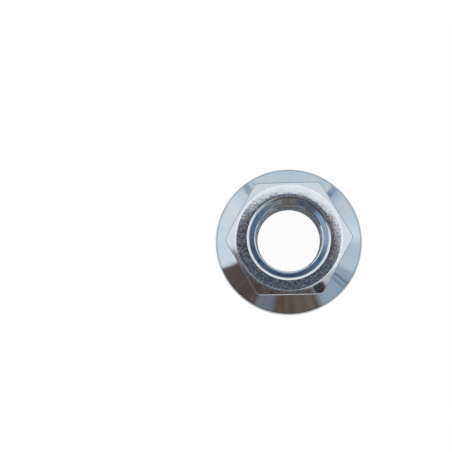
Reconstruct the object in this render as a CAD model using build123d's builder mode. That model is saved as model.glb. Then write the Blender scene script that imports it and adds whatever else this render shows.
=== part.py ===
from build123d import *

import os
from math import radians, tan

# Serrated flange nut for an M16 bolt: one forged piece, a chamfered hexagon on a
# conical flange whose bearing face carries a ring of ratchet teeth.
# Lengths are in millimetres and angles in degrees. +Z runs up the thread axis, from the
# bearing face to the top of the hexagon. The origin is on that axis, in the plane of
# the tooth crests, which is the plane that the nut clamps against.

# Hexagon: the chamfer starts on a circle that lies inside the flats by its inset
across_flats = 24.0
nut_height = 15.4
corner_radius = 1.1
chamfer_inset = 0.55
chamfer_angle = 20.0
chamfer_blend = 1.5

# Flange: its rim is a round that clears the bearing plane, drawn in above and below
flange_diameter = 33.5
flange_slope = 28.0
rim_radius = 1.1
rim_clearance = 0.12
rim_top_height = 2.45
rim_top_inset = 0.3
root_fillet = 0.25

# Bore, at the thread's minor diameter, with a countersink at each end. The upper one
# ends on a flatter lip round the bore.
minor_diameter = 14.0
countersink_angle = 90.0
top_countersink_width = 1.23
top_mouth_radius = 0.9
lip_width = 0.45
lip_slope = 30.0
bottom_countersink_width = 1.65

# Bearing face: the flat ring that the teeth are cut in, and a dish inside it
bearing_inset = 0.65
bearing_width = 4.5
dish_depth = 0.35

# Ratchet teeth: going anticlockwise seen from the hexagon, each one climbs a long ramp
# to a narrow land and then drops down a short steep flank
tooth_count = 24
tooth_height = 0.35
land_share = 0.10
steep_share = 0.15

# How far a cutter runs past the face that it cuts through
overrun = 0.5

flat_radius = across_flats / 2
chamfer_radius = flat_radius - chamfer_inset
flange_radius = flange_diameter / 2
rim_top_radius = flange_radius - rim_top_inset
bearing_radius = flange_radius - bearing_inset
dish_radius = bearing_radius - bearing_width
minor_radius = minor_diameter / 2
lip_radius = minor_radius + lip_width
top_mouth = lip_radius + top_countersink_width
bottom_mouth = minor_radius + bottom_countersink_width


def rise(run, angle):
    """Height gained over a horizontal run on a slope of that angle."""
    return run * tan(radians(angle))


def countersink_depth(width):
    """Depth of a countersink that widens the bore by that much all round."""
    return width / tan(radians(countersink_angle / 2))


# One groove between two lands: a V whose steep wall and long ramp both point at the
# origin, so that it narrows and grows shallower towards the axis
pitch = 360 / tooth_count
half_land = pitch * land_share / 2
land_edge = Vector(1, rise(1, half_land), 0)
groove_floor = Vector(1, rise(1, half_land + pitch * steep_share), tooth_height / flange_radius)
next_land_edge = Vector(1, rise(1, pitch - half_land), 0)
steep_wall = Plane((0, 0, 0), z_dir=land_edge.cross(groove_floor))
long_ramp = Plane((0, 0, 0), z_dir=groove_floor.cross(next_land_edge))
reach = flange_radius + overrun
with BuildPart() as groove:
    Box(reach, reach, 2 * overrun, align=(Align.MIN, Align.CENTER, Align.CENTER))
    split(bisect_by=steep_wall, keep=Keep.BOTTOM)
    split(bisect_by=long_ramp, keep=Keep.BOTTOM)

with BuildPart() as flange_nut:
    # Hexagon, with two of its corners on the X axis
    with BuildSketch():
        RegularPolygon(flat_radius, 6, major_radius=False)
    extrude(amount=nut_height)
    fillet(flange_nut.edges().filter_by(Axis.Z), radius=corner_radius)

    # Wrench chamfer: a shallow cone that trims the top corners
    with BuildSketch(Plane.XZ):
        with BuildLine():
            chamfer_foot = nut_height - rise(flange_radius - chamfer_radius, chamfer_angle)
            Polyline(
                (0, 0),
                (flange_radius, 0),
                (flange_radius, chamfer_foot),
                (chamfer_radius, nut_height),
                (0, nut_height),
                close=True,
            )
        make_face()
    revolve(axis=Axis.Z, mode=Mode.INTERSECT)
    chamfer_circle = flange_nut.faces().sort_by(Axis.Z)[-1].edges()
    fillet(chamfer_circle, radius=chamfer_blend)

    # Conical flange: the hull of its cone, its bearing face and the round of its rim
    with BuildSketch(Plane.XZ):
        with BuildLine():
            cone_end = flat_radius - root_fillet
            cone_top = rim_top_height + rise(rim_top_radius - cone_end, flange_slope)
            rim_centre = (flange_radius - rim_radius, rim_clearance + rim_radius)
            CenterArc(rim_centre, rim_radius, 0, 360)
            Polyline(
                (rim_top_radius, rim_top_height),
                (cone_end, cone_top),
                (0, cone_top),
                (0, 0),
                (bearing_radius, 0),
            )
        make_hull()
    revolve(axis=Axis.Z)
    fillet(flange_nut.edges(Select.NEW), radius=root_fillet)

    # Bore, countersinks and dish
    with BuildSketch(Plane.XZ):
        with BuildLine():
            lip_height = nut_height - countersink_depth(top_countersink_width)
            Polyline(
                (0, -overrun),
                (dish_radius, -overrun),
                (dish_radius, 0),
                (bottom_mouth, dish_depth),
                (minor_radius, dish_depth + countersink_depth(bottom_countersink_width)),
                (minor_radius, lip_height - rise(lip_width, lip_slope)),
                (lip_radius, lip_height),
                (top_mouth, nut_height),
                (top_mouth, nut_height + overrun),
                (0, nut_height + overrun),
                close=True,
            )
        make_face()
    revolve(axis=Axis.Z, mode=Mode.SUBTRACT)
    mouth = flange_nut.faces().sort_by(Axis.Z)[-1].inner_wires()[0]
    fillet(mouth.edges(), radius=top_mouth_radius)

    # Teeth: what is left between the grooves
    with PolarLocations(0, tooth_count):
        add(groove.part, mode=Mode.SUBTRACT)

flange_nut.part.label = "flange_nut"
os.makedirs("parts", exist_ok=True)
export_step(flange_nut.part, "parts/flange_nut.step")
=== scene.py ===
from math import acos, asin, atan, atan2, ceil, cos, degrees
from math import floor, hypot, pi, radians, sin, sqrt, tan

import bmesh
import bpy
import numpy as np
from mathutils import Matrix, Vector


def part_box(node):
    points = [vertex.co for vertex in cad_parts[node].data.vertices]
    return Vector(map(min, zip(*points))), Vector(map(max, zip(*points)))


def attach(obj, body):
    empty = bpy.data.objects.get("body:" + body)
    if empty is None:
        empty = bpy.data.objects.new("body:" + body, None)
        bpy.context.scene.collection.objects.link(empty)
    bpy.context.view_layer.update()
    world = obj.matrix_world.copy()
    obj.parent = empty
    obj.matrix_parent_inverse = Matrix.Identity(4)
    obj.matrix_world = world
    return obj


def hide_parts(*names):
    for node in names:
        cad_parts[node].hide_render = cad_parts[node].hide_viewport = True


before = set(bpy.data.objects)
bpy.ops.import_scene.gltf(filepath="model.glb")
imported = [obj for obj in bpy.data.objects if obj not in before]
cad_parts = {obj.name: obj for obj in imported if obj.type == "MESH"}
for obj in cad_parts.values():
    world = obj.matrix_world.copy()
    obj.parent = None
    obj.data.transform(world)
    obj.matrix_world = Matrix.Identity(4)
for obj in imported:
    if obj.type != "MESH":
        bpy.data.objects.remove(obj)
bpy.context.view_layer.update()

MM = 0.001
NODE = "flange_nut"

# The nut's own sizes, as in the solid
low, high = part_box(NODE)
nut_height = high.z
flange_radius = high.x
flat_radius = 24.0 * MM / 2
corner_radius = 1.1 * MM
chamfer_radius = flat_radius - 0.55 * MM
chamfer_angle = radians(20)
chamfer_blend = 1.5 * MM
flange_slope = radians(28)
rim_radius = 1.1 * MM
rim_clearance = 0.12 * MM
rim_top_height = 2.45 * MM
rim_top_radius = flange_radius - 0.3 * MM
minor_radius = 14.0 * MM / 2
lip_width = 0.45 * MM
top_countersink_width = 1.23 * MM
top_mouth = minor_radius + lip_width + top_countersink_width
top_mouth_blend = 0.9 * MM
bottom_mouth = minor_radius + 1.65 * MM
bearing_radius = flange_radius - 0.65 * MM
dish_radius = bearing_radius - 4.5 * MM
dish_depth = 0.35 * MM

tooth_count = 24
tooth_height = 0.35 * MM
tooth_pitch = 2 * pi / tooth_count
half_land = tooth_pitch * 0.10 / 2
tooth_floor = half_land + tooth_pitch * 0.15

# Finer edges than the solid has
wrench_edge_radius = 0.18 * MM
root_radius = 0.4 * MM
rim_edge_radius = 0.25 * MM
bearing_edge_radius = 0.08 * MM
dish_edge_radius = 0.15 * MM
tooth_edge_blend = radians(0.3)
tooth_edge_samples = 7

# Bore: narrowest at its waist, with a flat lip at the foot of the upper countersink
waist_height = 5.0 * MM
bottom_opening = 0.8 * MM
countersink_slope = radians(42.5)
lip_outer_radius = minor_radius + lip_width
lip_inner_radius = minor_radius + 0.15 * MM
lip_slope = radians(30)
lip_corner_radius = 0.1 * MM
lip_edge_radius = 0.15 * MM

# Internal thread, M16 with the coarse pitch
thread_pitch = 2.0 * MM
thread_root_radius = 16.0 * MM / 2
thread_flank = radians(30)
thread_root_flat = thread_pitch / 8
thread_crest_edge = 0.05 * MM
thread_root_edge = 0.12 * MM
thread_run_out = 1.5 * MM

# Points of the mesh nearer than this are one, and its edges are sharp from this angle
weld_distance = 0.0002 * MM
sharp_angle = radians(38)

# Painted shade, from 0 to 1: the tint is darkened towards a dark blue on the wrench edge, in the
# crease at the hexagon's foot, on the rim's edge and the rim, on the bearing face underneath and in
# the thread, where the metal should look dark
wrench_edge_painted_shade = 0.8
root_painted_shade = 0.3
rim_edge_painted_shade = 0.5
rim_painted_shade = 0.6
bearing_painted_shade = 0.2
thread_painted_shade = 0.5


def arc(centre, radius, start, end, steps):
    """Points (r, z) on an arc between two angles, both ends included."""
    turns = [start + (end - start) * i / steps for i in range(steps + 1)]
    return [(centre[0] + radius * cos(a), centre[1] + radius * sin(a)) for a in turns]


def rounded(before, corner, after, radius, steps):
    """The arc that rounds a corner of a section between the points before and after it."""
    before, corner, after = (np.array(p) for p in (before, corner, after))
    back = (before - corner) / np.linalg.norm(before - corner)
    ahead = (after - corner) / np.linalg.norm(after - corner)
    half = acos(np.clip(back @ ahead, -1, 1)) / 2
    middle = (back + ahead) / np.linalg.norm(back + ahead)
    centre = corner + middle * radius / sin(half)
    first = corner + back * radius / tan(half) - centre
    last = corner + ahead * radius / tan(half) - centre
    start = atan2(first[1], first[0])
    turn = (atan2(last[1], last[0]) - start + pi) % (2 * pi) - pi
    return arc(centre, radius, start, start + turn, steps)


def along(start, end, distance):
    """The point at a distance from one point towards another."""
    share = distance / hypot(end[0] - start[0], end[1] - start[1])
    return (start[0] + (end[0] - start[0]) * share, start[1] + (end[1] - start[1]) * share)


def between(start, after_start, before_end, end):
    """Two points on a straight line, each at its distance in millimetres from an end."""
    return [along(start, end, after_start * MM), along(end, start, before_end * MM)]


def tangent_direction(point, centre, radius, side):
    """Direction from a point along its tangent to a circle, on one side (+1 or -1)."""
    across, up = centre[0] - point[0], centre[1] - point[1]
    return atan2(up, across) + side * asin(radius / hypot(across, up))


def hexagon_radius(angle):
    """Distance from the axis to the side of the round-cornered hexagon."""
    off_corner = abs((angle + pi / 6) % (pi / 3) - pi / 6)
    corner_centre = (flat_radius - corner_radius) / cos(pi / 6)
    tangent_point = atan((flat_radius - corner_radius) * tan(pi / 6) / flat_radius)
    if off_corner > pi / 6 - tangent_point:
        return flat_radius / cos(pi / 6 - off_corner)
    aside = corner_centre * sin(off_corner)
    return corner_centre * cos(off_corner) + sqrt(corner_radius**2 - aside**2)


def groove_slope(angle):
    """Height of the tooth surface over its distance from the axis, with softened edges."""
    depth = tooth_height / flange_radius
    nearby = angle + np.linspace(-tooth_edge_blend, tooth_edge_blend, tooth_edge_samples)
    stations = [half_land, tooth_floor, tooth_pitch - half_land]
    return float(np.interp(nearby % tooth_pitch, stations, [0, depth, 0]).mean())


rim_centre = (flange_radius - rim_radius, rim_clearance + rim_radius)
bevel_direction = tangent_direction((bearing_radius, 0), rim_centre, rim_radius, -1)
draft_direction = tangent_direction((rim_top_radius, rim_top_height), rim_centre, rim_radius, 1)


def outer_section(angle):
    """Section of the nut's outside at an angle, from the lip in the bore, over the
    hexagon and the flange and under the teeth, to the mouth at the bearing face.
    Each point is (r, z, pitting, painted shade), the last two from 0 to 1. The pairs of points
    between the rounded corners keep the faces there flat when they are shaded smooth."""
    side = hexagon_radius(angle)
    mouth = (top_mouth, nut_height)
    countersink_depth = top_countersink_width * tan(countersink_slope)
    lip_depth = (lip_outer_radius - lip_inner_radius) * tan(lip_slope)
    lip_corner = (lip_outer_radius, nut_height - countersink_depth)
    lip_edge = (lip_inner_radius, lip_corner[1] - lip_depth)
    below_lip = (lip_inner_radius, 0)
    chamfer_start = (chamfer_radius, nut_height)
    edge = (side, nut_height - (side - chamfer_radius) * tan(chamfer_angle))
    root = (side, rim_top_height + (rim_top_radius - side) * tan(flange_slope))
    rim_top = (rim_top_radius, rim_top_height)
    below_rim_top = (rim_top[0] + cos(draft_direction), rim_top[1] + sin(draft_direction))
    groove = groove_slope(angle)
    bevel = tan(bevel_direction)
    dish = dish_depth / (dish_radius - bottom_mouth)
    outer = bearing_radius * bevel / (bevel - groove)
    inner = dish_radius * dish / (groove + dish)
    outer_edge = (outer, outer * groove)
    inner_edge = (inner, inner * groove)
    dish_top = (bottom_mouth, dish_depth)
    below_dish = (minor_radius, dish_depth + bottom_mouth - minor_radius)
    rim_start, rim_end = draft_direction + pi / 2, bevel_direction - pi / 2
    rim = arc(rim_centre, rim_radius, rim_start, rim_end, 10)
    bearing_edge = (bearing_edge_radius, 3)
    dish_edge = (dish_edge_radius, 3)
    # The last value in each zone is painted shade: it darkens the wrench edge, the crease at the
    # hexagon's foot, the rim's edge, the rim and the bearing face.
    zones = [
        (rounded(below_lip, lip_edge, lip_corner, lip_edge_radius, 4), 0.0, 0.0),
        (rounded(lip_edge, lip_corner, mouth, lip_corner_radius, 3), 0.0, 0.0),
        (between(lip_corner, 0.07, 0.42, mouth), 0.0, 0.0),
        (rounded(lip_corner, mouth, chamfer_start, top_mouth_blend, 9), 0.0, 0.0),
        (between(mouth, 0.45, 0.32, chamfer_start), 1.0, 0.0),
        (rounded(mouth, chamfer_start, edge, chamfer_blend, 6), 1.0, 0.0),
        (between(chamfer_start, 0.32, 0.2, edge), 0.3, 0.0),
        (rounded(chamfer_start, edge, root, wrench_edge_radius, 6), 0.3, wrench_edge_painted_shade),
        (between(edge, 0.4, 0.6, root), 0.3, 0.0),
        (rounded(edge, root, rim_top, root_radius, 6), 0.3, root_painted_shade),
        (between(root, 0.5, 0.4, rim_top), 0.1, 0.0),
        (rounded(root, rim_top, below_rim_top, rim_edge_radius, 5), 0.05, rim_edge_painted_shade),
        (rim, 0.1, rim_painted_shade),
        (rounded(rim[-1], outer_edge, inner_edge, *bearing_edge), 0.1, bearing_painted_shade),
        (rounded(outer_edge, inner_edge, dish_top, *dish_edge), 0.1, bearing_painted_shade),
        (rounded(inner_edge, dish_top, below_dish, *dish_edge), 0.1, bearing_painted_shade),
    ]
    return [(r, z, pitting, painted_shade) for points, pitting, painted_shade in zones for r, z in points]


def thread_section():
    """One pitch of the internal thread, as points (height, depth behind the crest) from
    the middle of a root to the next."""
    depth = thread_root_radius - minor_radius
    flank_width = depth * tan(thread_flank)
    root_edge = (thread_root_flat / 2, depth)
    crest_edge = (root_edge[0] + flank_width, 0)
    middle = (thread_pitch / 2, 0)
    rising = (
        [(0, depth)]
        + rounded((0, depth), root_edge, crest_edge, thread_root_edge, 2)
        + [(root_edge[0] + flank_width / 2, depth / 2)]
        + rounded(root_edge, crest_edge, middle, thread_crest_edge, 2)
        + [middle]
    )
    falling = [(thread_pitch - height, d) for height, d in reversed(rising[1:-1])]
    return rising + falling


def bore_section(angle, thread, bottom, top):
    """Section of the threaded bore at an angle, from its mouth at the bearing face up to
    the lip. Its points climb with the helix, so they stay on the thread's edges."""
    turns = range(floor(bottom[1] / thread_pitch) - 1, ceil(top[1] / thread_pitch) + 1)
    points = []
    for turn in turns:
        for climb, depth in thread:
            z = (turn + angle / (2 * pi)) * thread_pitch + climb
            z = min(max(z, bottom[1]), top[1])
            end, opening = 0, bottom_opening
            if z > waist_height:
                end, opening = top[1], top[0] - minor_radius
            crest = minor_radius + opening * ((z - waist_height) / (end - waist_height)) ** 2
            run_out = min((top[1] - z) / thread_run_out, 1)
            root = crest + (thread_root_radius - crest) * run_out
            share = depth / (thread_root_radius - minor_radius)
            flare = bottom[0] - (z - bottom[1])
            radius = max(crest + (root - crest) * share, flare)
            # The last value is painted shade that darkens the thread in the bore.
            points.append((radius, z, 0.0, thread_painted_shade))
    return points


def section_angles():
    """Where the sections stand: closer together on the edges of teeth and hexagon. The
    steps are in degrees, from the middle of a land or from a corner of the hexagon."""
    land = (-1.0, -0.75, -0.5, 0, 0.5, 0.75)
    groove = (1.0, 1.5, 2.1, 2.75, 3.0, 3.25, 4.2, 5.5, 6.8, 8.1, 9.4, 10.7, 12, 13.2)
    corner = (-1.6, -2.34)
    angles = [i * degrees(tooth_pitch) + step for i in range(tooth_count) for step in land + groove]
    angles += [i * 60 + step for i in range(6) for step in corner]
    return [radians(a) for a in sorted(a % 360 for a in angles)] + [2 * pi]


def build_nut():
    """The whole nut as one closed mesh: a ring of sections joined side by side."""
    thread = thread_section()
    columns = []
    for angle in section_angles():
        outside = outer_section(angle)
        bore = bore_section(angle, thread, outside[-1], outside[0])
        section = outside + bore
        columns.append([(r * cos(angle), r * sin(angle), *rest) for r, *rest in section])
    rows = len(columns[0])
    mesh = bpy.data.meshes.new("nut_body")
    points = np.array(columns).reshape(-1, 5)
    faces = []
    for here in range(0, (len(columns) - 1) * rows, rows):
        beside = here + rows
        for j in range(rows):
            above = (j + 1) % rows
            faces.append((here + j, beside + j, beside + above, here + above))
    mesh.from_pydata(points[:, :3].tolist(), [], faces)
    for column, name in ((3, "pitting"), (4, "painted_shade")):
        finish = mesh.attributes.new(name, "FLOAT", "POINT")
        finish.data.foreach_set("value", points[:, column].astype(np.float32))
    work = bmesh.new()
    work.from_mesh(mesh)
    bmesh.ops.remove_doubles(work, verts=work.verts, dist=weld_distance)
    bmesh.ops.recalc_face_normals(work, faces=work.faces)
    work.to_mesh(mesh)
    work.free()
    mesh.shade_smooth()
    mesh.set_sharp_from_angle(angle=sharp_angle)
    nut = bpy.data.objects.new("nut_body", mesh)
    bpy.context.scene.collection.objects.link(nut)
    return nut


class Nodes:
    """A short way to write a node tree."""

    def __init__(self, tree):
        self.tree = tree
        tree.nodes.clear()

    def add(self, kind, settings=None, **inputs):
        """Adds a node; inputs are named as its sockets are, with _ for a space."""
        node = self.tree.nodes.new(kind)
        for name, value in (settings or {}).items():
            setattr(node, name, value)
        for name, value in inputs.items():
            self.feed(node, name.replace("_", " "), value)
        return node

    def feed(self, node, socket, value):
        """Links an output to an input, or sets the input's own value."""
        target = node.inputs[socket]
        if isinstance(value, bpy.types.NodeSocket):
            self.tree.links.new(value, target)
        else:
            target.default_value = value

    def math(self, operation, first, second=0.0):
        node = self.tree.nodes.new("ShaderNodeMath")
        node.operation = operation
        self.feed(node, 0, first)
        self.feed(node, 1, second)
        return node.outputs[0]

    def vector(self, operation, first, second=None):
        node = self.add("ShaderNodeVectorMath", {"operation": operation})
        self.feed(node, 0, first)
        if second is not None:
            self.feed(node, "Scale" if operation == "SCALE" else 1, second)
        return node.outputs["Value" if operation in ("LENGTH", "DOT_PRODUCT") else "Vector"]

    def ramp(self, value, low, high):
        """0 below low, 1 above high, smooth between; falls instead where low > high."""
        node = self.add("ShaderNodeMapRange", {"interpolation_type": "SMOOTHSTEP"}, Value=value)
        self.feed(node, "From Min", low)
        self.feed(node, "From Max", high)
        return node.outputs["Result"]

    def noise(self, place, scale, detail):
        node = self.add("ShaderNodeTexNoise", Vector=place, Scale=scale, Detail=detail)
        return node.outputs["Fac"]

    def upwards(self, value):
        """A vector along Z of that length."""
        return self.add("ShaderNodeCombineXYZ", Z=value).outputs[0]

    def blend(self, factor, first, second):
        """One shader turning into another."""
        node = self.add("ShaderNodeMixShader", Fac=factor)
        self.feed(node, 1, first)
        self.feed(node, 2, second)
        return node.outputs[0]

    def mix(self, factor, first, second):
        node = self.add("ShaderNodeMix", {"data_type": "RGBA"})
        self.feed(node, 0, factor)
        self.feed(node, 6, first)
        self.feed(node, 7, second)
        return node.outputs[2]


def rgb(red, green, blue):
    return (red, green, blue, 1.0)


def zinc_plate():
    """Bright zinc plating with a blue passivation over pitted forged steel, with painted shade on
    some edges, the rim, the bearing face and the thread.
    """
    clear_tint, stained_tint = rgb(0.745, 0.81, 0.86), rgb(0.80, 0.84, 0.865)
    # The dark blue of the painted shade
    painted_shade_tint = rgb(0.20, 0.24, 0.30)
    polish, dull = 0.05, 0.5
    dull_share = 0.18
    grain_height, wave_height, calm_height, streak_height = 0.0020, 0.01, 0.0035, 0.004
    turned, forged_from = 8.9 * MM, 9.6 * MM

    material = bpy.data.materials.new("zinc_plate")
    material.use_nodes = True
    nodes = Nodes(material.node_tree)
    place = nodes.add("ShaderNodeTexCoord").outputs["Object"]
    pitting = nodes.add("ShaderNodeAttribute", {"attribute_name": "pitting"}).outputs["Fac"]
    painted_shade = nodes.add("ShaderNodeAttribute", {"attribute_name": "painted_shade"}).outputs["Fac"]

    # Coordinates that follow the turn of the nut, for streaks that run outwards
    flat = nodes.vector("MULTIPLY", place, (1, 1, 0))
    distance = nodes.vector("LENGTH", flat)
    around = nodes.vector("SCALE", nodes.vector("NORMALIZE", flat), 28.0)
    outwards = nodes.upwards(nodes.math("MULTIPLY", distance, 220.0))
    polar = nodes.vector("ADD", around, outwards)
    streaks = nodes.noise(polar, 1.0, 3.0)

    clouds = nodes.noise(place, 260.0, 4.0)
    blotches = nodes.math("MULTIPLY", nodes.math("ADD", streaks, clouds), 0.5)
    tint = nodes.mix(nodes.ramp(blotches, 0.35, 0.65), clear_tint, stained_tint)
    # Painted shade: the second attribute turns the tint towards a dark blue on edges, the crease,
    # the rim, the bearing face and the thread.
    tint = nodes.mix(painted_shade, tint, painted_shade_tint)

    # Forged skin: a fine grain, drawn out a little towards the rim, and dull specks, each
    # in its own cell
    height = nodes.vector("DOT_PRODUCT", place, (0, 0, 1))
    across = nodes.math("MULTIPLY", nodes.math("ADD", distance, height), 1300.0)
    grained = nodes.vector("ADD", nodes.vector("SCALE", around, 1.4), nodes.upwards(across))
    grain = nodes.noise(grained, 1.0, 1.5)
    forged = nodes.math("MULTIPLY", nodes.math("MULTIPLY", grain, pitting), grain_height)
    cells = nodes.add("ShaderNodeTexVoronoi", Vector=place, Scale=3400.0).outputs["Color"]
    chance = nodes.add("ShaderNodeSeparateXYZ", Vector=cells).outputs["X"]
    specks = nodes.math("MULTIPLY", nodes.math("POWER", chance, 2.0), pitting)

    # Waves left by the forging die, long ones and others that run outwards. They are lower
    # on the pitted top, and the bore is turned, so it has none.
    waves = nodes.noise(place, 330.0, 1.0)
    calmed = nodes.math("MULTIPLY", pitting, wave_height - calm_height)
    swell = nodes.math("MULTIPLY", waves, nodes.math("SUBTRACT", wave_height, calmed))
    drawn = nodes.math("MULTIPLY", nodes.math("SUBTRACT", 1.0, pitting), streak_height)
    pressed = nodes.math("ADD", swell, nodes.math("MULTIPLY", streaks, drawn))
    pressed = nodes.math("MULTIPLY", pressed, nodes.ramp(distance, turned, forged_from))
    relief = nodes.math("ADD", forged, pressed)
    bump = nodes.add("ShaderNodeBump", Height=relief, Strength=1.0, Distance=1.0 * MM)

    def metal(roughness):
        settings = {"Base_Color": tint, "Metallic": 1.0, "Roughness": roughness}
        shader = nodes.add("ShaderNodeBsdfPrincipled", Normal=bump.outputs["Normal"], **settings)
        return shader.outputs["BSDF"]

    surface = nodes.blend(nodes.math("MULTIPLY", specks, dull_share), metal(polish), metal(dull))
    nodes.add("ShaderNodeOutputMaterial", Surface=surface)
    return material


# What the metal mirrors. Each card is (sides, heights, colour) as in studio_world, and the
# later ones stand before the earlier ones. Seen from above, the flange mirrors the cards
# from -20 to 38 degrees, the hexagon's chamfer those above, and the countersink those
# below 16.
ALL_ROUND = None
FLANGE = (-20, 38, 2)
COUNTERSINK = (-20, 16, 4)
STUDIO_CARDS = [
    # Pale walls
    (ALL_ROUND, (-20, 60, 5), (0.83, 0.86, 0.875)),
    ((80, 60, 25), (38, 60, 5), (0.74, 0.79, 0.82)),
    (ALL_ROUND, FLANGE, (0.74, 0.80, 0.84)),
    ((75, 55, 12), FLANGE, (0.58, 0.66, 0.72)),
    ((347, 14, 6), FLANGE, (0.52, 0.61, 0.69)),
    ((317, 20, 3), FLANGE, (0.32, 0.40, 0.48)),
    # Narrow dark strips on them
    ((47, 4, 3), FLANGE, (0.46, 0.55, 0.63)),
    ((50, 1.5, 1.2), (26.2, 38, 0.6), (0.20, 0.28, 0.38)),
    ((124, 1.5, 1.2), FLANGE, (0.36, 0.45, 0.54)),
    ((116, 1.0, 1.0), (27.4, 38, 0.5), (0.30, 0.38, 0.47)),
    ((327, 1.2, 0.8), FLANGE, (0.14, 0.19, 0.28)),
    ((323, 0.8, 0.8), FLANGE, (0.22, 0.28, 0.37)),
    # The brown side of the room
    ((247, 50, 3), (-20, 84, 3), (0.095, 0.070, 0.062)),
    ((278, 18, 8), (-20, 42, 3), (0.14, 0.105, 0.085)),
    ((247, 7, 4), FLANGE, (0.17, 0.185, 0.22)),
    # High cards
    ((318, 10, 6), (42, 58, 4), (0.50, 0.53, 0.56)),
    ((312, 20, 6), (57, 88, 2), (0.50, 0.52, 0.55)),
    ((303, 6, 2), (46, 68, 3), (0.025, 0.024, 0.028)),
    ((247, 50, 6), (62, 88, 2), (0.09, 0.10, 0.12)),
    ((195, 8, 5), (42, 86, 4), (0.22, 0.20, 0.20)),
    ((182, 9, 5), (70, 86, 3), (0.12, 0.13, 0.15)),
    ((164, 12, 6), (77, 86, 3), (0.12, 0.13, 0.15)),
    # Low blue cards
    (ALL_ROUND, COUNTERSINK, (0.10, 0.155, 0.245)),
    ((65, 50, 25), COUNTERSINK, (0.060, 0.092, 0.158)),
    ((188, 26, 14), COUNTERSINK, (0.29, 0.40, 0.515)),
    ((247, 22, 10), COUNTERSINK, (0.10, 0.118, 0.14)),
    ((290, 16, 12), COUNTERSINK, (0.21, 0.225, 0.24)),
    ((270, 9, 6), COUNTERSINK, (0.155, 0.145, 0.135)),
]

# Discs overhead, where the camera stands: (axis, radius, blur, colour)
STUDIO_DISCS = [
    ((-0.046, 0.068, 1), 1.3, 0.4, (0.07, 0.08, 0.11)),
    ((0.0062, 0.0511, 1), 3.65, 0.08, (0.036, 0.047, 0.078)),
]


def studio_world():
    """White all round, with the darker things that the metal mirrors before it."""
    world = bpy.data.worlds.new("studio")
    bpy.context.scene.world = world
    world.use_nodes = True
    nodes = Nodes(world.node_tree)
    direction = nodes.add("ShaderNodeTexCoord").outputs["Generated"]

    # The cards' edges are a little uneven, and so is their brightness
    wander, shade = 0.12, 0.14
    unevenness = nodes.add("ShaderNodeTexNoise", Vector=direction, Scale=9.0, Detail=4.0)
    shift = nodes.vector("SUBTRACT", unevenness.outputs["Color"], (0.5, 0.5, 0.5))
    bent = nodes.vector("ADD", direction, nodes.vector("SCALE", shift, wander))
    bent = nodes.vector("NORMALIZE", bent)
    height = nodes.add("ShaderNodeSeparateXYZ", Vector=bent).outputs["Z"]
    level = nodes.vector("NORMALIZE", nodes.vector("MULTIPLY", bent, (1, 1, 0)))

    def rises(lowest, blur):
        return nodes.ramp(height, sin(radians(lowest - blur)), sin(radians(lowest + blur)))

    def falls(highest, blur):
        return nodes.ramp(height, sin(radians(highest + blur)), sin(radians(highest - blur)))

    def card(behind, sides, heights, colour):
        """A card before what is behind it. Its sides are (azimuth, half width, blur), or
        None all round, and its heights are (lowest, highest, blur), all in degrees."""
        lowest, highest, blur = heights
        mask = nodes.math("MULTIPLY", rises(lowest, blur), falls(highest, blur))
        if sides:
            azimuth, half_width, side_blur = sides
            facing = Vector((cos(radians(azimuth)), sin(radians(azimuth)), 0))
            turned = nodes.vector("DOT_PRODUCT", level, facing)
            outer = cos(radians(half_width + side_blur))
            inner = cos(radians(max(half_width - side_blur, 0)))
            mask = nodes.math("MULTIPLY", nodes.ramp(turned, outer, inner), mask)
        return nodes.mix(mask, behind, rgb(*colour))

    view = rgb(1.0, 1.0, 1.0)
    for sides, heights, colour in STUDIO_CARDS:
        view = card(view, sides, heights, colour)

    uneven = nodes.math("SUBTRACT", unevenness.outputs["Fac"], 0.5)
    view = nodes.vector("ADD", view, nodes.math("MULTIPLY", uneven, shade))

    for axis, radius, blur, colour in STUDIO_DISCS:
        facing = nodes.vector("DOT_PRODUCT", direction, Vector(axis).normalized())
        inside = nodes.ramp(facing, cos(radians(radius + blur)), cos(radians(radius - blur)))
        view = nodes.mix(inside, view, rgb(*colour))

    seen = nodes.add("ShaderNodeBackground", Color=view, Strength=1.0).outputs[0]
    plain = nodes.add("ShaderNodeBackground", Color=rgb(1, 1, 1), Strength=1.0).outputs[0]
    glossy = nodes.add("ShaderNodeLightPath").outputs["Is Glossy Ray"]
    nodes.add("ShaderNodeOutputWorld", Surface=nodes.blend(glossy, plain, seen))


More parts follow.
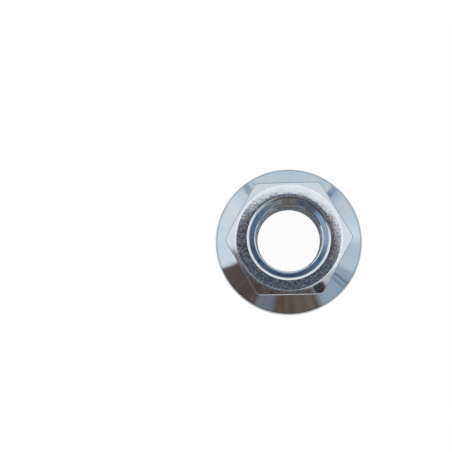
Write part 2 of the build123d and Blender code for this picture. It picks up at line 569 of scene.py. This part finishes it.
def white_floor():
    """A plain white table: it keeps a faint shadow of the nut."""
    seen_glow, mirrored_glow = 0.96, 0.1
    bpy.ops.mesh.primitive_plane_add(size=2.0, location=(0, 0, 0))
    table = bpy.context.object
    table.name = "table"
    material = bpy.data.materials.new("white_table")
    material.use_nodes = True
    nodes = Nodes(material.node_tree)
    rays = nodes.add("ShaderNodeLightPath").outputs
    mirrored = nodes.math("MAXIMUM", rays["Is Glossy Ray"], rays["Is Transmission Ray"])
    seen = nodes.math("MULTIPLY", rays["Is Camera Ray"], seen_glow)
    share = nodes.math("MAXIMUM", nodes.math("MULTIPLY", mirrored, mirrored_glow), seen)
    paper = nodes.add("ShaderNodeBsdfDiffuse", Color=rgb(1, 1, 1)).outputs[0]
    glow = nodes.add("ShaderNodeEmission", Color=rgb(1, 1, 1), Strength=1.0).outputs[0]
    nodes.add("ShaderNodeOutputMaterial", Surface=nodes.blend(share, paper, glow))
    table.data.materials.append(material)


def photo_camera():
    """A camera straight over the nut, turned so that the nut stands where the
    photograph has it, right of the middle and a little below."""
    image_size = 452
    focal_pixels = 880
    nut_pixel = (288.4, 241.9)
    roll = radians(1.4)
    aim = Vector((0, 0, 1.3 * MM))
    place = Vector((-1.84 * MM, -12.34 * MM, 203.4 * MM))
    camera = bpy.data.objects.new("camera", bpy.data.cameras.new("camera"))
    bpy.context.scene.collection.objects.link(camera)
    bpy.context.scene.camera = camera
    camera.data.sensor_width = 36
    camera.data.lens = camera.data.sensor_width * focal_pixels / image_size
    camera.data.clip_start = 0.01

    def basis(forward, right):
        """Three square directions from a sight line and a rough direction to its right."""
        forward = forward.normalized()
        up = right.cross(forward).normalized()
        return Matrix((forward.cross(up), up, forward)).transposed()

    across = nut_pixel[0] - image_size / 2
    down = nut_pixel[1] - image_size / 2
    in_camera = basis(Vector((across, -down, -focal_pixels)), Vector((1, 0, 0)))
    in_scene = basis(aim - place, Vector((cos(roll), -sin(roll), 0)))
    turn = in_scene @ in_camera.transposed()
    camera.matrix_world = Matrix.Translation(place) @ turn.to_4x4()


nut = build_nut()
nut.data.materials.append(zinc_plate())
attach(nut, "root")
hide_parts(NODE)
studio_world()
white_floor()
photo_camera()
bpy.context.scene.view_settings.view_transform = "Standard"

bpy.context.view_layer.update()
